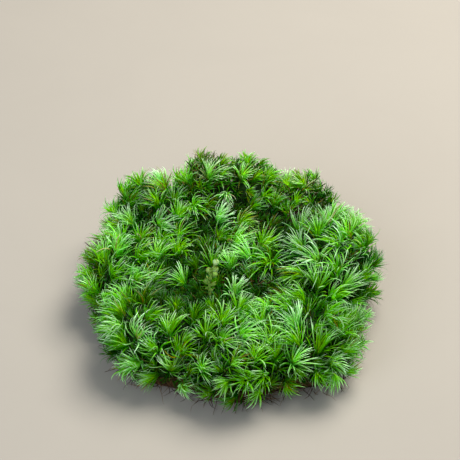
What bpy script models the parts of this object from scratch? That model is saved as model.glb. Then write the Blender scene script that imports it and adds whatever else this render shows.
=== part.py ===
"""A clump of tail-like moss, cut off flat underneath where it was lifted.

The clump is one cushion of leafy shoots standing on a felt of old brown stems
and rhizoids. A small budded sprig of another plant stands between the shoots.
Units are metres, +Z is up, and the front of the clump faces -Y. The origin is
the middle of the flat cut underside, on the surface that the clump rests on.
"""

import math

import bmesh
import bpy
import numpy as np
from mathutils import Matrix, Vector

MM = 0.001
SEED = 20

# Gap between two pieces that touch.
CONTACT_GAP = 0.3 * MM

# --- felt of old stems and rhizoids ---
# How far the felt's torn edge lies inside the leafy side of the cushion.
MAT_INSET = 3.0 * MM
MAT_THICKNESS = 7.5 * MM
MAT_EDGE_ROUNDING = 2.0 * MM
# Waves of the torn edge: (waves in a turn, height, phase in degrees).
MAT_EDGE_WAVES = (
    (5, 0.4 * MM, 70.0),
    (9, 0.4 * MM, 15.0),
    (14, 0.3 * MM, 120.0),
)

# --- leafy cushion ---
# Lowest height of the leafy side, which hangs past the felt.
SKIRT_HEIGHT = 1.6 * MM
SKIRT_SIDES = 44
# Softness of the clefts where two hummocks meet.
CLEFT_SOFTNESS = 2.0 * MM
# Below its middle a hummock goes on down as a column that narrows this slowly.
COLUMN_TAPER = 0.35
# The hummocks that the shoots grow in: middle and half sizes in mm.
HUMMOCKS_MM = {
    "core": ((0.0, 0.5, 7.0), (41.0, 40.0, 14.5)),
    "back_slope": ((0.0, 22.0, 9.0), (34.0, 20.5, 17.0)),
    "back_left": ((-25.0, 27.0, 16.0), (13.0, 12.0, 13.5)),
    "back_middle_left": ((-7.5, 33.0, 19.5), (9.0, 10.5, 13.5)),
    "back_middle": ((6.0, 33.0, 19.0), (10.0, 10.5, 13.0)),
    "back_right": ((23.5, 29.0, 16.0), (9.0, 10.5, 13.0)),
    "right": ((29.5, 6.0, 16.5), (15.5, 18.5, 13.5)),
    "left": ((-31.5, 4.0, 13.0), (13.5, 15.0, 11.5)),
    "middle": ((-7.0, 7.0, 11.0), (14.0, 11.0, 12.0)),
    "middle_right": ((9.0, 1.0, 11.0), (12.0, 11.0, 12.5)),
    "front_left": ((-21.0, -19.5, 12.0), (15.5, 15.5, 12.5)),
    "front_middle": ((2.0, -27.5, 12.5), (13.5, 14.5, 11.0)),
    "front_right": ((23.5, -21.5, 12.5), (15.0, 15.5, 12.0)),
}
# Hollows between the hummocks: middle, reach and depth in mm.
HOLLOWS_MM = {
    "behind_middle_left": ((-10.0, 11.5, 25.0), 6.0, 3.0),
    "behind_middle": ((8.0, 21.5, 27.5), 6.5, 2.4),
    "behind_right": ((25.0, 23.0, 28.0), 5.0, 3.0),
    "right_cleft": ((16.0, 8.5, 26.0), 5.5, 2.2),
    "front_left": ((-17.0, -8.5, 23.0), 6.0, 3.6),
    "front_right": ((10.7, -8.5, 23.0), 5.5, 3.4),
    "before_middle": ((0.0, -3.0, 23.5), 4.5, 2.2),
    "back_left_foot": ((-29.0, 25.0, 29.5), 4.0, 2.2),
    "left_foot": ((-24.0, -18.0, 25.0), 4.0, 2.2),
    "right_side": ((40.5, 0.5, 26.5), 4.5, 2.0),
}
# Point below the mound that sees all of its surface from behind.
MOUND_FOCUS = Vector((0.0, 0.0, -16.0 * MM))
MOUND_REACH = 80.0 * MM

# --- rosette tufts ---
# No spot on the mound is farther than this from the foot of a tuft.
TUFT_COVER = 5.4 * MM
TUFT_LOWEST = 6.0 * MM
TUFT_HEART_HEIGHT = 4.9 * MM
TUFT_TIP_HEIGHT = 4.1 * MM
TUFT_NOTCH_HEIGHT = 1.7 * MM
# Depth of the gaps between tufts below the mound's surface.
GAP_DEPTH = 1.8 * MM
# How far tips and notches reach from the heart, as shares of the way to the gap.
TIP_REACH = 0.86
NOTCH_REACH = 0.5
TUFT_SIZE_SPREAD = 0.16
TIP_SIZE_SPREAD = 0.2
# Share of a tuft's direction that turns to the light instead of outward.
LIGHT_SEEKING = 0.30
# Share of its height that a tuft keeps at the bottom of a cleft.
CLEFT_SHARE = 0.25
# Height of the lowest tips above the skirt.
LOWEST_TIP = 0.2 * MM
CANDIDATE_COUNT = 6000

# --- budded sprig ---
SPRIG_FOOT = Vector((-6.0 * MM, -12.5 * MM, 19.0 * MM))
SPRIG_HEIGHT = 13.5 * MM
SPRIG_LEAN = Vector((1.8 * MM, 1.0 * MM, 0.0))
SPRIG_BEND = 0.9 * MM
SPRIG_STEM_RADIUS = 0.55 * MM
SPRIG_STEM_SIDES = 8
SPRIG_STEM_RINGS = 6
SPRIG_CLEARING = 4.6 * MM
# Buds: share of the stem's height, turn in degrees, reach and radius in mm.
SPRIG_BUDS = (
    (0.50, 200.0, 1.1, 0.75),
    (0.62, 20.0, 1.2, 0.80),
    (0.74, 160.0, 1.1, 0.80),
    (0.86, 300.0, 1.0, 0.85),
    (1.00, 0.0, 0.0, 0.90),
)

# --- colours in linear RGB, and roughness ---
SHOOT_GREEN = (0.078, 0.235, 0.034)
SHOOT_ROUGHNESS = 0.6
FELT_BROWN = (0.062, 0.042, 0.022)
FELT_ROUGHNESS = 0.95
SPRIG_YELLOW_GREEN = (0.45, 0.52, 0.17)
SPRIG_ROUGHNESS = 0.5


def clear_scene():
    """Remove every object of the scene."""
    for item in list(bpy.data.objects):
        bpy.data.objects.remove(item, do_unlink=True)


def make_material(name, colour, roughness):
    """Return a Principled material of one colour."""
    material = bpy.data.materials.new(name)
    material.use_nodes = True
    surface = material.node_tree.nodes["Principled BSDF"]
    surface.inputs["Base Color"].default_value = (*colour, 1.0)
    surface.inputs["Roughness"].default_value = roughness
    surface.inputs["Metallic"].default_value = 0.0
    return material


def make_object(name, mesh, material=None):
    """Put a mesh in the scene under a name."""
    item = bpy.data.objects.new(name, mesh)
    bpy.context.scene.collection.objects.link(item)
    if material is not None:
        mesh.materials.append(material)
    return item


def mesh_from_bmesh(name, shape):
    """Turn a bmesh into a mesh."""
    mesh = bpy.data.meshes.new(name)
    shape.to_mesh(mesh)
    shape.free()
    return mesh


def hide_cutter(cutter):
    """Leave a cutter or a joined helper shape out of the finished part."""
    cutter.hide_render = True
    cutter.display_type = "WIRE"


def add_boolean(item, name, operation, other):
    """Join another shape to an object, or cut it out of it."""
    step = item.modifiers.new(name, "BOOLEAN")
    step.operation = operation
    step.solver = "EXACT"
    step.use_self = True
    step.object = other


# ---------------------------------------------------------------- the mound

def hummock_distance(points, middle, half_sizes):
    """Distance from points to a round-topped hummock, below zero inside it."""
    offset = points - middle
    offset[:, 2] = np.where(offset[:, 2] < 0.0, offset[:, 2] * COLUMN_TAPER, offset[:, 2])
    scaled = np.linalg.norm(offset / half_sizes, axis=1)
    slope = np.linalg.norm(offset / half_sizes**2, axis=1)
    return scaled * (scaled - 1.0) / np.maximum(slope, 1e-9)


def mound_distance(points):
    """Distance from points to all hummocks grown together, with the hollows in them."""
    distances = []
    for middle, half_sizes in HUMMOCKS_MM.values():
        middle = np.array(middle) * MM
        half_sizes = np.array(half_sizes) * MM
        distances.append(hummock_distance(points, middle, half_sizes))
    distances = np.array(distances)
    nearest = distances.min(axis=0)
    blend = np.exp((nearest - distances) / CLEFT_SOFTNESS).sum(axis=0)
    smooth = nearest - CLEFT_SOFTNESS * np.log(blend)
    for middle, reach, depth in HOLLOWS_MM.values():
        away = np.linalg.norm(points - np.array(middle) * MM, axis=1) / (reach * MM)
        smooth += depth * MM * np.exp(-away**2)
    return smooth


def mound_points(directions, focus=MOUND_FOCUS, coarse_steps=70, fine_steps=14):
    """Outermost point of the mound along each direction from a point in it."""
    focus = np.array(focus)
    outside = np.full(len(directions), MOUND_REACH)
    inside = np.zeros(len(directions))
    found = np.zeros(len(directions), dtype=bool)
    for step in range(1, coarse_steps):
        reach = MOUND_REACH * (1.0 - step / coarse_steps)
        within = mound_distance(focus + directions * reach) < 0.0
        newly = within & ~found
        inside[newly] = reach
        outside[newly] = reach + MOUND_REACH / coarse_steps
        found |= newly
    for _ in range(fine_steps):
        middle = (inside + outside) / 2.0
        within = mound_distance(focus + directions * middle[:, None]) < 0.0
        inside = np.where(within, middle, inside)
        outside = np.where(within, outside, middle)
    return focus + directions * ((inside + outside) / 2.0)[:, None]


def mound_normals(points, step=0.2 * MM):
    """Outward directions of the mound's surface at points."""
    slopes = []
    for axis in np.eye(3):
        ahead = mound_distance(points + axis * step)
        behind = mound_distance(points - axis * step)
        slopes.append(ahead - behind)
    slopes = np.array(slopes).T
    return slopes / np.linalg.norm(slopes, axis=1)[:, None]


def spiral_directions(count):
    """Directions spread evenly over a sphere along a golden spiral."""
    index = np.arange(count) + 0.5
    height = 1.0 - 2.0 * index / count
    turn = math.pi * (1.0 + math.sqrt(5.0)) * index
    radius = np.sqrt(1.0 - height**2)
    return np.column_stack((radius * np.cos(turn), radius * np.sin(turn), height))


def spread_sites(points, cover):
    """Pick points evenly: each new one is the farthest from those before it."""
    kept = [0]
    room = np.linalg.norm(points - points[0], axis=1)
    while room.max() > cover:
        kept.append(int(room.argmax()))
        room = np.minimum(room, np.linalg.norm(points - points[kept[-1]], axis=1))
    return kept


def tuft_feet():
    """Where the tufts stand on the mound, with none in the sprig's way."""
    feet = mound_points(spiral_directions(CANDIDATE_COUNT))
    feet = feet[feet[:, 2] > TUFT_LOWEST]
    clear = np.linalg.norm(feet[:, :2] - np.array(SPRIG_FOOT)[:2], axis=1)
    feet = feet[clear > SPRIG_CLEARING]
    return feet[spread_sites(feet, TUFT_COVER)]


def tuft_axes(feet):
    """The direction that each tuft opens in: outward, and turned to the light."""
    outward = mound_normals(feet)
    upward = np.clip(outward[:, 2:], 0.0, 1.0)
    axes = outward + np.array((0.0, 0.0, 1.0)) * LIGHT_SEEKING * upward
    return axes / np.linalg.norm(axes, axis=1)[:, None]


def skirt_ring():
    """Points round the mound at the height of its skirt."""
    turns = np.arange(SKIRT_SIDES) * math.tau / SKIRT_SIDES
    level = np.column_stack((np.cos(turns), np.sin(turns), np.zeros(SKIRT_SIDES)))
    return mound_points(level, focus=(0.0, 0.0, SKIRT_HEIGHT))


# ----------------------------------------------------------- rosette tufts

def joined_triangles(points, tuft_count):
    """Join points on the mound into triangles that each touch a tuft."""
    sphere = bmesh.new()
    focus = np.array(MOUND_FOCUS)
    order = {}
    for index, point in enumerate(points):
        order[sphere.verts.new(Vector(point - focus).normalized())] = index
    bmesh.ops.convex_hull(sphere, input=sphere.verts)
    bmesh.ops.triangulate(sphere, faces=sphere.faces)
    bmesh.ops.recalc_face_normals(sphere, faces=sphere.faces)
    triangles = [tuple(order[vert] for vert in face.verts) for face in sphere.faces]
    sphere.free()
    return [corners for corners in triangles if min(corners) < tuft_count]


def surface_between(points, groups):
    """The mound's surface in the middle of each group, and the way out there."""
    focus = np.array(MOUND_FOCUS)
    rays = points - focus
    rays = rays / np.linalg.norm(rays, axis=1)[:, None]
    middles = np.array([rays[list(group)].mean(axis=0) for group in groups])
    middles = middles / np.linalg.norm(middles, axis=1)[:, None]
    surface = mound_points(middles)
    return surface, mound_normals(surface)


def open_share(points, ways):
    """How much of a tuft's height is free over each point: little in a cleft."""
    free = mound_distance(points + ways * TUFT_HEART_HEIGHT)
    return np.clip(free / TUFT_HEART_HEIGHT, CLEFT_SHARE, 1.0)


class Cushion:
    """The mound as a mesh, with a star of leaf points on each tuft."""

    def __init__(self):
        self.random = np.random.default_rng(SEED)
        self.shape = bmesh.new()
        feet = tuft_feet()
        self.tuft_count = len(feet)
        self.points = np.vstack((feet, skirt_ring()))
        self.axes = tuft_axes(self.points)
        spread = self.random.uniform(-TUFT_SIZE_SPREAD, TUFT_SIZE_SPREAD, len(self.points))
        self.sizes = (1.0 + spread) * open_share(self.points, self.axes)
        self.sizes[self.tuft_count:] = 0.0
        self.triangles = joined_triangles(self.points, self.tuft_count)
        self.edges = self.find_edges()

    def find_edges(self):
        """Every pair of points that a triangle joins, once."""
        pairs = set()
        for corners in self.triangles:
            for place in range(3):
                pairs.add(tuple(sorted((corners[place], corners[place - 1]))))
        return sorted(pairs)

    def raised(self, index, toward, share, lift):
        """A vertex on the way from a tuft's foot toward a gap, lifted."""
        foot = self.points[index]
        spot = foot + (toward - foot) * share + lift * self.sizes[index]
        spot[2] = max(spot[2], SKIRT_HEIGHT + LOWEST_TIP)
        return self.shape.verts.new(spot)

    def sunk(self, group, spot, way):
        """A vertex down in the gap, or on the skirt between points of its ring."""
        if min(group) >= self.tuft_count:
            return self.shape.verts.new(self.points[list(group)].mean(axis=0))
        spot = spot - way * GAP_DEPTH
        spot[2] = max(spot[2], SKIRT_HEIGHT + LOWEST_TIP)
        return self.shape.verts.new(spot)

    def add_saddles(self):
        """The low spots between neighbours, with a notch on either side."""
        spots, ways = surface_between(self.points, self.edges)
        shares = open_share(spots, ways)
        self.saddles = {}
        self.notches = {}
        for pair, spot, way, share in zip(self.edges, spots, ways, shares):
            self.saddles[pair] = self.sunk(pair, spot, way)
            lift = way * TUFT_NOTCH_HEIGHT * share
            for end, other in (pair, pair[::-1]):
                if end < self.tuft_count:
                    self.notches[end, other] = self.raised(end, spot, NOTCH_REACH, lift)

    def add_hearts(self):
        """The middle of each tuft, and the plain points of the skirt."""
        lifts = self.axes * TUFT_HEART_HEIGHT * self.sizes[:, None]
        self.hearts = [self.shape.verts.new(point) for point in self.points + lifts]

    def add_wedge(self, corner, after, before, gap, spot, lift):
        """The faces of one point in one triangle, with a tip if it is a tuft."""
        new_face = self.shape.faces.new
        heart = self.hearts[corner]
        saddle_after = self.saddles[tuple(sorted((corner, after)))]
        saddle_before = self.saddles[tuple(sorted((corner, before)))]
        if corner >= self.tuft_count:
            new_face((heart, saddle_after, gap))
            new_face((heart, gap, saddle_before))
            return
        reach = TIP_REACH * self.random.uniform(1.0 - TIP_SIZE_SPREAD, 1.0)
        size = self.random.uniform(1.0 - TIP_SIZE_SPREAD, 1.0 + TIP_SIZE_SPREAD)
        tip = self.raised(corner, spot, reach, lift * size)
        notch_after = self.notches[corner, after]
        notch_before = self.notches[corner, before]
        rim = (heart, notch_after, saddle_after, gap, saddle_before, notch_before)
        for start, end in zip(rim, rim[1:] + rim[:1]):
            new_face((start, end, tip))

    def add_wedges(self):
        """All faces above the skirt."""
        spots, ways = surface_between(self.points, self.triangles)
        shares = open_share(spots, ways)
        for corners, spot, way, share in zip(self.triangles, spots, ways, shares):
            gap = self.sunk(corners, spot, way)
            lift = way * TUFT_TIP_HEIGHT * share
            for place, corner in enumerate(corners):
                after = corners[(place + 1) % 3]
                before = corners[(place + 2) % 3]
                self.add_wedge(corner, after, before, gap, spot, lift)

    def add_underside(self):
        """The flat face under the skirt."""
        rim = [edge for edge in self.shape.edges if edge.is_boundary]
        bmesh.ops.holes_fill(self.shape, edges=rim, sides=len(rim))

    def build(self):
        """Return the finished shape."""
        self.add_saddles()
        self.add_hearts()
        self.add_wedges()
        self.add_underside()
        return self.shape


# ------------------------------------------------- felt of stems and rhizoids

def mat_outline():
    """Radius of the torn felt in each direction round the clump."""
    turns = np.arange(SKIRT_SIDES) * math.tau / SKIRT_SIDES
    radius = np.linalg.norm(skirt_ring()[:, :2], axis=1) - MAT_INSET
    for waves, height, phase in MAT_EDGE_WAVES:
        radius += height * np.cos(waves * turns + math.radians(phase))
    return turns, radius


def make_mat(swell=0.0, drop=0.0):
    """The felt, or with a swell and a drop the room that it needs."""
    levels = (
        (MAT_EDGE_ROUNDING / 2.0, -drop),
        (0.0, MAT_EDGE_ROUNDING),
        (MAT_EDGE_ROUNDING / 4.0, MAT_THICKNESS - MAT_EDGE_ROUNDING + swell),
        (MAT_EDGE_ROUNDING * 1.5, MAT_THICKNESS + swell),
    )
    turns, outline = mat_outline()
    rings = []
    for inset, height in levels:
        radius = outline - inset + swell
        ring = np.column_stack((radius * np.cos(turns), radius * np.sin(turns)))
        rings.append([(x, y, height) for x, y in ring])
    return closed_tube(rings)


def closed_tube(rings):
    """Join rings of points, lowest first, into a closed shape."""
    shape = bmesh.new()
    rings = [[shape.verts.new(point) for point in ring] for ring in rings]
    sides = len(rings[0])
    for lower, upper in zip(rings, rings[1:]):
        for side in range(sides):
            after = (side + 1) % sides
            shape.faces.new((lower[side], lower[after], upper[after], upper[side]))
    shape.faces.new(rings[0][::-1])
    shape.faces.new(rings[-1])
    return shape


# ----------------------------------------------------------- budded sprig

def sprig_point(share):
    """Point of the sprig's bent stem at a share of its height."""
    rise = Vector((0.0, 0.0, SPRIG_HEIGHT * share))
    bend = Vector((-SPRIG_BEND, 0.0, 0.0)) * math.sin(math.pi * share)
    return SPRIG_FOOT + SPRIG_LEAN * share + rise + bend


def make_stem(radius, first=0.0):
    """A closed tube along the stem, from a share of its height to its top."""
    turns = np.arange(SPRIG_STEM_SIDES) * math.tau / SPRIG_STEM_SIDES
    outline = [Vector((math.cos(turn), math.sin(turn), 0.0)) * radius for turn in turns]
    rings = []
    for share in np.linspace(first, 1.0, SPRIG_STEM_RINGS):
        rings.append([sprig_point(share) + offset for offset in outline])
    return closed_tube(rings)


def make_buds():
    """The round buds of the sprig in one shape, each touching the stem."""
    shape = bmesh.new()
    for share, turn, reach_mm, radius_mm in SPRIG_BUDS:
        angle = math.radians(turn)
        reach = Vector((math.cos(angle), math.sin(angle), 0.0)) * reach_mm * MM
        place = Matrix.Translation(sprig_point(share) + reach)
        bmesh.ops.create_icosphere(shape, subdivisions=2, radius=radius_mm * MM, matrix=place)
    return shape


# ------------------------------------------------------------------ pieces

def build_rhizoid_mat():
    """The brown felt with its flat cut underside."""
    material = make_material("felt_of_old_stems", FELT_BROWN, FELT_ROUGHNESS)
    make_object("rhizoid_mat", mesh_from_bmesh("rhizoid_mat", make_mat()), material)


def build_moss_cushion():
    """The green cushion, with room for the felt and for the foot of the sprig."""
    material = make_material("moss_shoots", SHOOT_GREEN, SHOOT_ROUGHNESS)
    shape = Cushion().build()
    cushion = make_object("moss_cushion", mesh_from_bmesh("moss_cushion", shape), material)
    room = make_mat(swell=CONTACT_GAP, drop=MAT_THICKNESS)
    mat_room = make_object("mat_room", mesh_from_bmesh("mat_room", room))
    hole = make_stem(SPRIG_STEM_RADIUS + CONTACT_GAP, first=-CONTACT_GAP / SPRIG_HEIGHT)
    sprig_room = make_object("sprig_room", mesh_from_bmesh("sprig_room", hole))
    add_boolean(cushion, "room_for_sprig", "DIFFERENCE", sprig_room)
    add_boolean(cushion, "room_for_mat", "DIFFERENCE", mat_room)
    for helper in (mat_room, sprig_room):
        hide_cutter(helper)


def build_budded_sprig():
    """The pale sprig with its buds."""
    material = make_material("budded_sprig", SPRIG_YELLOW_GREEN, SPRIG_ROUGHNESS)
    stem = make_stem(SPRIG_STEM_RADIUS)
    sprig = make_object("budded_sprig", mesh_from_bmesh("budded_sprig", stem), material)
    buds = make_object("bud_shapes", mesh_from_bmesh("bud_shapes", make_buds()))
    add_boolean(sprig, "buds_grown_on", "UNION", buds)
    hide_cutter(buds)
    sprig.data.shade_smooth()


def main():
    clear_scene()
    build_rhizoid_mat()
    build_moss_cushion()
    build_budded_sprig()


main()
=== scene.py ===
"""A clump of tail-like moss on its felt of old stems: leaves, stems, fibres and looks.

The clump is one cushion of leafy shoots. Each shoot is a stem with narrow, curved
leaves set round it in a spiral. Units are metres, +Z is up and the front faces -Y.
"""

import math

import bmesh
import bpy
import numpy as np
from bpy.props import FloatProperty, FloatVectorProperty, IntProperty, PointerProperty
from mathutils import Matrix, Vector, noise


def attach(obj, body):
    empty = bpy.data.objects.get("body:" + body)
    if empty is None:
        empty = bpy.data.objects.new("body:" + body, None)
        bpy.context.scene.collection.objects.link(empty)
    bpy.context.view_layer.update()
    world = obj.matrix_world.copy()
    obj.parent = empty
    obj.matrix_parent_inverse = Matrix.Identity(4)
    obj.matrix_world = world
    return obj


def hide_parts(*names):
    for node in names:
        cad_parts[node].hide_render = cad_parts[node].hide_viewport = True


bl_info = {
    "name": "Moss clump",
    "version": (1, 0, 0),
    "blender": (4, 5, 0),
    "location": "View3D > Sidebar > Moss",
    "description": "Leafy shoots, stems, fibres and materials of a moss cushion",
    "category": "Object",
}

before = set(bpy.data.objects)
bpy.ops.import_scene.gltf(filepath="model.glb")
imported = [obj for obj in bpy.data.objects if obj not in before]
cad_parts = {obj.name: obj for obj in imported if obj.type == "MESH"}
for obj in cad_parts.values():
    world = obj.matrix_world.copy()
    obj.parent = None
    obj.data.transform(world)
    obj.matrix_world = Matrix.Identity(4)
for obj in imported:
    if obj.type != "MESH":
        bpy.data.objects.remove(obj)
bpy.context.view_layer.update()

MM = 0.001
SEED = 7
GOLDEN_ANGLE = math.pi * (3.0 - math.sqrt(5.0))
UP = np.array((0.0, 0.0, 1.0))
TO_THE_RIGHT = np.array((1.0, 0.0, 0.0))
UPWARD = Vector(UP)

# --- the mound that the shoots stand on, the same as in the solids ---
CLEFT_SOFTNESS = 2.0 * MM
COLUMN_TAPER = 0.35
HUMMOCKS_MM = {
    "core": ((0.0, 0.5, 7.0), (41.0, 40.0, 14.5)),
    "back_slope": ((0.0, 22.0, 9.0), (34.0, 20.5, 17.0)),
    "back_left": ((-25.0, 27.0, 16.0), (13.0, 12.0, 13.5)),
    "back_middle_left": ((-7.5, 33.0, 19.5), (9.0, 10.5, 13.5)),
    "back_middle": ((6.0, 33.0, 19.0), (10.0, 10.5, 13.0)),
    "back_right": ((23.5, 29.0, 16.0), (9.0, 10.5, 13.0)),
    "right": ((29.5, 6.0, 16.5), (15.5, 18.5, 13.5)),
    "left": ((-31.5, 4.0, 13.0), (13.5, 15.0, 11.5)),
    "middle": ((-7.0, 7.0, 11.0), (14.0, 11.0, 12.0)),
    "middle_right": ((9.0, 1.0, 11.0), (12.0, 11.0, 12.5)),
    "front_left": ((-21.0, -19.5, 12.0), (15.5, 15.5, 12.5)),
    "front_middle": ((2.0, -27.5, 12.5), (13.5, 14.5, 11.0)),
    "front_right": ((23.5, -21.5, 12.5), (15.0, 15.5, 12.0)),
}
# Hollows between the hummocks: middle, reach and depth in mm.
HOLLOWS_MM = {
    "behind_middle_left": ((-10.0, 11.5, 25.0), 6.0, 3.0),
    "behind_middle": ((8.0, 21.5, 27.5), 6.5, 2.4),
    "behind_right": ((25.0, 23.0, 28.0), 5.0, 3.0),
    "right_cleft": ((16.0, 8.5, 26.0), 5.5, 2.2),
    "front_left": ((-17.0, -8.5, 23.0), 6.0, 3.6),
    "front_right": ((10.7, -8.5, 23.0), 5.5, 3.4),
    "before_middle": ((0.0, -3.0, 23.5), 4.5, 2.2),
    "back_left_foot": ((-29.0, 25.0, 29.5), 4.0, 2.2),
    "left_foot": ((-24.0, -18.0, 25.0), 4.0, 2.2),
    "right_side": ((40.5, 0.5, 26.5), 4.5, 2.0),
}
# Points of the surface are looked for on rays from here, and no farther out than this.
MOUND_FOCUS = np.array((0.0, 0.0, -16.0 * MM))
MOUND_REACH = 80.0 * MM

# --- where the shoots stand ---
# Spots that shoots are picked from, and the lowest that one may lie.
CANDIDATE_COUNT = 6000
SHOOT_LOWEST = 6.0 * MM
# Farthest that any spot lies from a full-grown shoot.
SHOOT_COVER = 5.4 * MM
# Distance that full-grown shoots keep from the sprig, and that all shoots keep.
SPRIG_CLEARING = 4.6 * MM
SPRIG_ROOM = 2.0 * MM
# The cushion is seven pieces: its middle, and six round it from the right on.
MIDDLE_RADIUS = 22.0 * MM
SECTOR_NAMES = (
    "leaves_middle", "leaves_right_back", "leaves_back", "leaves_left_back",
    "leaves_left_front", "leaves_front", "leaves_right_front",
)

# --- how the shoots differ over the cushion ---
# Middle and reach in mm, then leaf length, spread of the leaves, waviness,
# painted light and shade with some of the shoots' own tone (darker in the hollows and on
# slopes that face away from the key light, lighter on lit crests), brownness and lean
# to the light.
GROWTH_PATCHES = {
    "back_left": ((-23, 32, 30), 10, 1.10, 1.05, 0.8, 0.32, 0.18, 0.50),
    "back_left_foot": ((-27.5, 28, 29.5), 4.5, 0.80, 1.00, 0.6, -2.40, 0.15, 0.50),
    "back_middle_left": ((-8, 37, 36), 6, 0.66, 1.20, 0.4, 0.10, 0.45, 0.30),
    "back_middle_left_foot": ((-8, 27, 30), 7, 0.95, 1.05, 0.5, 0.75, 0.16, 0.60),
    "back_middle": ((7, 32, 33), 9, 0.85, 1.10, 0.5, 0.48, 0.24, 0.40),
    "back_middle_foot": ((8, 27.5, 30), 6, 1.00, 1.05, 0.5, 0.80, 0.20, 0.60),
    "back_right": ((22, 31, 31), 8, 0.82, 1.15, 0.5, 1.20, 0.28, 0.40),
    "right": ((31, 10, 30), 12, 1.28, 0.95, 0.7, 0.16, 0.00, 1.00),
    "right_front": ((23, -4, 27), 10, 1.38, 0.95, 0.7, 0.20, 0.00, 1.40),
    "right_side": ((40.5, 0.5, 26), 4, 1.00, 1.00, 0.7, -1.00, 0.10, 0.80),
    "left": ((-32, -1, 24), 12, 1.20, 1.00, 1.8, 0.30, 0.02, 1.10),
    "left_back": ((-34, 18, 26), 8, 1.05, 1.05, 1.0, 0.40, 0.05, 0.70),
    "middle_left": ((-21, 15, 26), 7, 1.05, 1.10, 0.6, 0.20, 0.03, 1.00),
    "middle": ((4, 6, 25), 9, 1.15, 1.00, 0.8, 0.54, 0.02, 1.30),
    "front_left": ((-21, -24, 24), 11, 1.18, 0.95, 1.2, 0.20, 0.00, 1.50),
    "front_middle": ((3, -25, 24), 10, 1.15, 1.10, 1.0, 0.32, 0.00, 1.50),
    "front_right": ((24, -22, 24), 12, 1.25, 0.95, 0.9, 0.30, 0.00, 1.50),
    "behind_middle_left": ((-9, 14, 24.5), 5, 0.90, 1.00, 0.5, -1.30, 0.03, 0.90),
    "behind_middle": ((12, 22, 26.5), 6, 0.80, 1.00, 0.5, -0.95, 0.25, 0.60),
    "behind_middle_edge": ((1, 24, 28), 4.5, 0.80, 1.00, 0.5, -0.90, 0.22, 0.60),
    "behind_right": ((27.5, 25, 27), 5, 0.65, 1.00, 0.5, -1.10, 0.50, 0.60),
    "back_right_side": ((29, 33, 27), 3.5, 0.75, 1.10, 0.5, -0.80, 0.50, 0.40),
    "right_cleft": ((17, 9, 25), 4, 0.90, 1.00, 0.7, -1.40, 0.03, 1.00),
    "hollow_left": ((-16, -11, 22), 9, 0.56, 1.00, 0.8, -2.50, 0.04, 1.20),
    "hollow_right": ((10.5, -7, 22.5), 6, 0.66, 1.00, 0.8, -1.90, 0.10, 1.20),
    "before_hollow_left": ((-18, -18, 23), 6, 0.66, 1.00, 0.8, -0.90, 0.00, 1.30),
    "before_hollow": ((2, -10.5, 22), 3.5, 0.90, 1.00, 0.8, 0.30, 0.00, 1.40),
    "before_middle": ((0, -4, 22.5), 4, 0.80, 1.00, 0.8, -0.90, 0.03, 1.20),
    "left_foot": ((-25, -18.5, 25), 4, 0.80, 1.00, 0.8, -0.90, 0.10, 1.20),
    "lone_shoot": ((-14.6, -3.1, 20.8), 3, 0.95, 0.75, 0.6, 1.10, 0.00, 1.20),
    "left_of_lone": ((-19.4, 1.6, 22.1), 3.2, 0.75, 1.00, 0.8, -2.00, 0.05, 1.20),
    "right_of_lone": ((-10.9, 1.9, 23.4), 2.8, 0.85, 1.00, 0.8, -1.20, 0.03, 1.20),
    "left_edge": ((-44, 9, 20), 4, 0.80, 1.00, 0.8, -0.40, 0.45, 0.80),
    "pale_left": ((-22.7, 18.2, 25.3), 3, 1.10, 1.00, 0.8, 0.50, 0.00, 0.90),
    "pale_middle": ((-3.6, 19.1, 26.8), 3, 0.90, 1.10, 0.8, 0.45, 0.00, 0.90),
}
# The same looks far from every patch, and how much they weigh.
PATCH_BASE = (1.0, 0.9, 0.8, -0.1, 0.10, 1.3)
PATCH_BASE_WEIGHT = 0.03
# How fast a patch gives way to its neighbours with the distance from its middle.
PATCH_FALL = 1.6
# From the foot of a shoot to the middle of its leaves, where its look is read.
PATCH_OFFSET = np.array((0.0, 2.0, 1.5)) * MM
# How much deeper the tips of the darkest shoots lie, down in the hollows.
HOLLOW_DEPTH = 2.8 * MM
# Shoots whose leaves end in whitish tips, partly bleached and partly painted highlight, in mm.
PALE_SHOOTS_MM = (
    (-22.7, 16.2, 23.8), (-3.6, 17.1, 25.3), (16.9, 8.4, 22.8), (21.4, 2.4, 27.5),
    (2.9, -24.7, 25.0), (1.5, -11.2, 21.0), (-31.8, 18.4, 23.2), (35.1, 21.4, 22.6),
    (26.7, -3.4, 27.9), (-21.7, 34.4, 26.3), (21.4, 11.5, 26.7),
)
PALE_REACH_MM = 3.5
PALE_STRENGTH = 0.80
# Where the leaf tips have turned orange-brown: middle, reach and strength.
RUSTY_SPOTS_MM = (
    ((3.1, 16.5, 28.8), 3.0, 1.0),
    ((-8.0, 38.0, 36.0), 6.0, 0.60),
    ((20.5, 33.0, 31.0), 5.0, 0.50),
    ((-27.0, 31.0, 30.0), 4.0, 0.35),
    ((-43.0, 8.0, 22.0), 4.0, 0.35),
)

# --- three storeys of shoots: full-grown, low between them, and old below both ---
STOREY_LEAF_SIZE = np.array((1.00, 0.78, 0.48))
# Least and most depth of the leaf tips under those of the full-grown shoots.
STOREY_DEPTH = np.array(((0.0, 0.0), (1.8, 4.2), (3.6, 5.2))) * MM
# Painted shade: the low and the old storeys are made darker, for the shade under the full-grown
# shoots.
STOREY_PAINTED_SHADE = np.array((0.0, -0.8, -1.4))
STOREY_LEAN = np.array((1.0, 0.8, 0.2))
STOREY_SPREAD = np.array((1.0, 1.0, 1.9))
# Pieces that each leaf is bent in.
STOREY_SEGMENTS = (8, 5, 3)
OLD_STOREY = 2

# --- one shoot: its leaves stand in a spiral, the youngest at the top ---
# Degrees between the shoot and a leaf's base, and that the leaf then bends
# through: of the youngest, and how much more of the oldest.
LEAF_START_DEGREES = (2.0, 13.0)
LEAF_BEND_DEGREES = (34.0, 60.0)
# From the base of the youngest leaf down to that of the oldest.
LEAFY_LENGTH = 4.6 * MM
# From the middle of the stem to the base of a leaf.
LEAF_GAP = 0.22 * MM
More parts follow.
